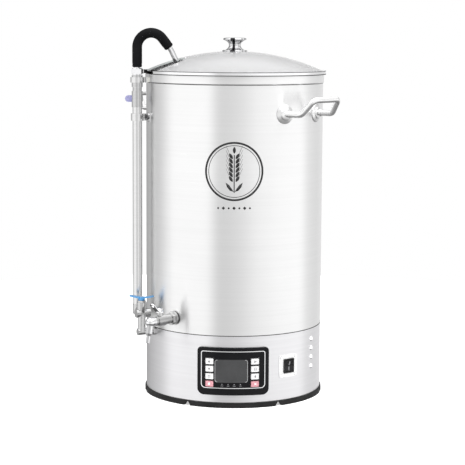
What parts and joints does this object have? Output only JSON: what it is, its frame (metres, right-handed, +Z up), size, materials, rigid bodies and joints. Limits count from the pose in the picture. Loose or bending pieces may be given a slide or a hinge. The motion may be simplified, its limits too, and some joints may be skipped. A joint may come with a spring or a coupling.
{
  "type": "brew kettle",
  "caption": "Tall electric stainless brew kettle with glass lid, grain basket, side handles, drain tap, pump base with control panel, and a valved recirculation pipe with a gooseneck arm.",
  "frame": {"origin": "on the kettle axis at the floor, at the lower edge of the round foot ring", "axes": "+Z up; -Y is the front, where the control panel is; +X is to the right seen from the front"},
  "size_m": [0.4765, 0.4363, 0.827],
  "materials": {
    "satin_steel": "satin brushed stainless",
    "brushed_steel": "brushed stainless, horizontal grain",
    "polished_steel": "polished stainless",
    "trim_silver": "silver printed line",
    "base_grey": "plain grey",
    "foot_black": "black moulded",
    "rubber_black": "soft matt black",
    "bezel_black": "gloss black",
    "window_grey": "dark tinted window",
    "board_green": "circuit board",
    "button_white": "satin white",
    "button_red": "satin pink red",
    "plate_pale": "pale plate",
    "pump_black": "black moulded",
    "hose_white": "milky silicone",
    "valve_blue": "blue coated",
    "lid_glass": "clear tempered glass"
  },
  "bodies": {
    "kettle": {"foot_ring": "foot_black", "base_plate": "base_grey", "base_shell": "brushed_steel", "kettle_shell": "satin_steel", "kettle_bottom": "satin_steel", "heating_rings": "base_grey", "temperature_probe": "polished_steel", "sump_filter": "satin_steel", "pump_body": "pump_black", "pump_hoses": "hose_white", "outlet_elbow": "polished_steel", "lower_valve_body": "polished_steel", "riser_foot": "polished_steel", "riser_pipe": "satin_steel", "riser_clamp": "satin_steel", "rim_hook": "satin_steel", "rim_pad": "rubber_black", "upper_valve_body": "polished_steel", "riser_top": "polished_steel", "union_nut": "polished_steel", "tap_nuts": "polished_steel", "tap_gasket": "rubber_black", "tap_body": "polished_steel", "tap_spout": "polished_steel", "panel_bezel": "bezel_black", "panel_trim": "trim_silver", "display_window": "window_grey", "control_board": "board_green", "switch_plate": "plate_pale", "switch_body": "pump_black", "screws": "polished_steel", "power_inlet": "pump_black", "handle_right": "polished_steel", "handle_left": "polished_steel"},
    "lid": {"lid_glass": "lid_glass", "lid_rim": "polished_steel", "lid_knob": "polished_steel", "knob_screw": "polished_steel"},
    "basket": {"malt_pipe": "satin_steel", "overflow_pipe": "satin_steel"},
    "basket_screen": {"top_screen": "satin_steel"},
    "basket_bail": {"malt_bail": "polished_steel"},
    "arm": {"arm_tube": "polished_steel", "arm_sleeve": "rubber_black"},
    "lower_valve": {"lower_valve_stem": "polished_steel", "lower_valve_handle": "valve_blue"},
    "upper_valve": {"upper_valve_stem": "polished_steel", "upper_valve_handle": "valve_blue"},
    "tap_lever": {"tap_ball": "polished_steel", "tap_lever": "polished_steel"},
    "rocker": {"switch_rocker": "pump_black"},
    "rotor": {"pump_rotor": "hose_white"},
    "key_left_1": {"button_left_1": "button_white"},
    "key_left_2": {"button_left_2": "button_white"},
    "key_left_3": {"button_left_3": "button_white"},
    "key_left_4": {"button_left_4": "button_red"},
    "key_right_1": {"button_right_1": "button_white"},
    "key_right_2": {"button_right_2": "button_white"},
    "key_right_3": {"button_right_3": "button_white"},
    "key_right_4": {"button_right_4": "button_red"}
  },
  "joints": [
    {"name": "lid_lift", "type": "slide", "parent": "kettle", "child": "lid", "axis": [0, 0, 1], "range_m": [0, 0.35]},
    {"name": "basket_lift", "type": "slide", "parent": "kettle", "child": "basket", "axis": [0, 0, 1], "range_m": [0, 0.07]},
    {"name": "screen_lift", "type": "slide", "parent": "basket", "child": "basket_screen", "axis": [0, 0, 1], "range_m": [0, 0.025]},
    {"name": "bail_swing", "type": "hinge", "parent": "basket", "child": "basket_bail", "pos_m": [0, 0, 0.6358], "axis": [0.2419, -0.9703, 0], "range_deg": [0, 86]},
    {"name": "arm_swing", "type": "hinge", "parent": "kettle", "child": "arm", "pos_m": [-0.21735, -0.05419, 0.725], "axis": [0, 0, 1], "range_deg": [-24, 24]},
    {"name": "lower_valve_turn", "type": "hinge", "parent": "kettle", "child": "lower_valve", "pos_m": [-0.20545, -0.10559, 0.1934], "axis": [0, 0, 1], "range_deg": [0, 90]},
    {"name": "upper_valve_turn", "type": "hinge", "parent": "kettle", "child": "upper_valve", "pos_m": [-0.21735, -0.05419, 0.669], "axis": [-0.2419, 0.9703, 0], "range_deg": [0, 90]},
    {"name": "tap_turn", "type": "hinge", "parent": "kettle", "child": "tap_lever", "pos_m": [-0.16073, -0.1849, 0.1915], "axis": [0, 0, 1], "range_deg": [0, 90]},
    {"name": "rocker_tilt", "type": "hinge", "parent": "kettle", "child": "rocker", "pos_m": [0.12023, -0.15669, 0.087], "axis": [-0.7934, -0.6088, 0], "range_deg": [0, 10]},
    {"name": "rotor_spin", "type": "hinge", "parent": "kettle", "child": "rotor", "pos_m": [-0.09339, -0.048, 0.1], "axis": [0, 0, 1], "continuous": true},
    {"name": "key_left_1_press", "type": "slide", "parent": "kettle", "child": "key_left_1", "axis": [0, 1, 0], "range_m": [0, 0.001], "stiffness_N_per_m": 800},
    {"name": "key_left_2_press", "type": "slide", "parent": "kettle", "child": "key_left_2", "axis": [0, 1, 0], "range_m": [0, 0.001], "stiffness_N_per_m": 800},
    {"name": "key_left_3_press", "type": "slide", "parent": "kettle", "child": "key_left_3", "axis": [0, 1, 0], "range_m": [0, 0.001], "stiffness_N_per_m": 800},
    {"name": "key_left_4_press", "type": "slide", "parent": "kettle", "child": "key_left_4", "axis": [0, 1, 0], "range_m": [0, 0.001], "stiffness_N_per_m": 800},
    {"name": "key_right_1_press", "type": "slide", "parent": "kettle", "child": "key_right_1", "axis": [0, 1, 0], "range_m": [0, 0.001], "stiffness_N_per_m": 800},
    {"name": "key_right_2_press", "type": "slide", "parent": "kettle", "child": "key_right_2", "axis": [0, 1, 0], "range_m": [0, 0.001], "stiffness_N_per_m": 800},
    {"name": "key_right_3_press", "type": "slide", "parent": "kettle", "child": "key_right_3", "axis": [0, 1, 0], "range_m": [0, 0.001], "stiffness_N_per_m": 800},
    {"name": "key_right_4_press", "type": "slide", "parent": "kettle", "child": "key_right_4", "axis": [0, 1, 0], "range_m": [0, 0.001], "stiffness_N_per_m": 800}
  ],
  "couplings": [
    {"joint": "basket_lift", "follows": "lid_lift", "ratio": 0.2},
    {"joint": "bail_swing", "follows": "lid_lift", "rad_per_m": 4.2835}
  ]
}
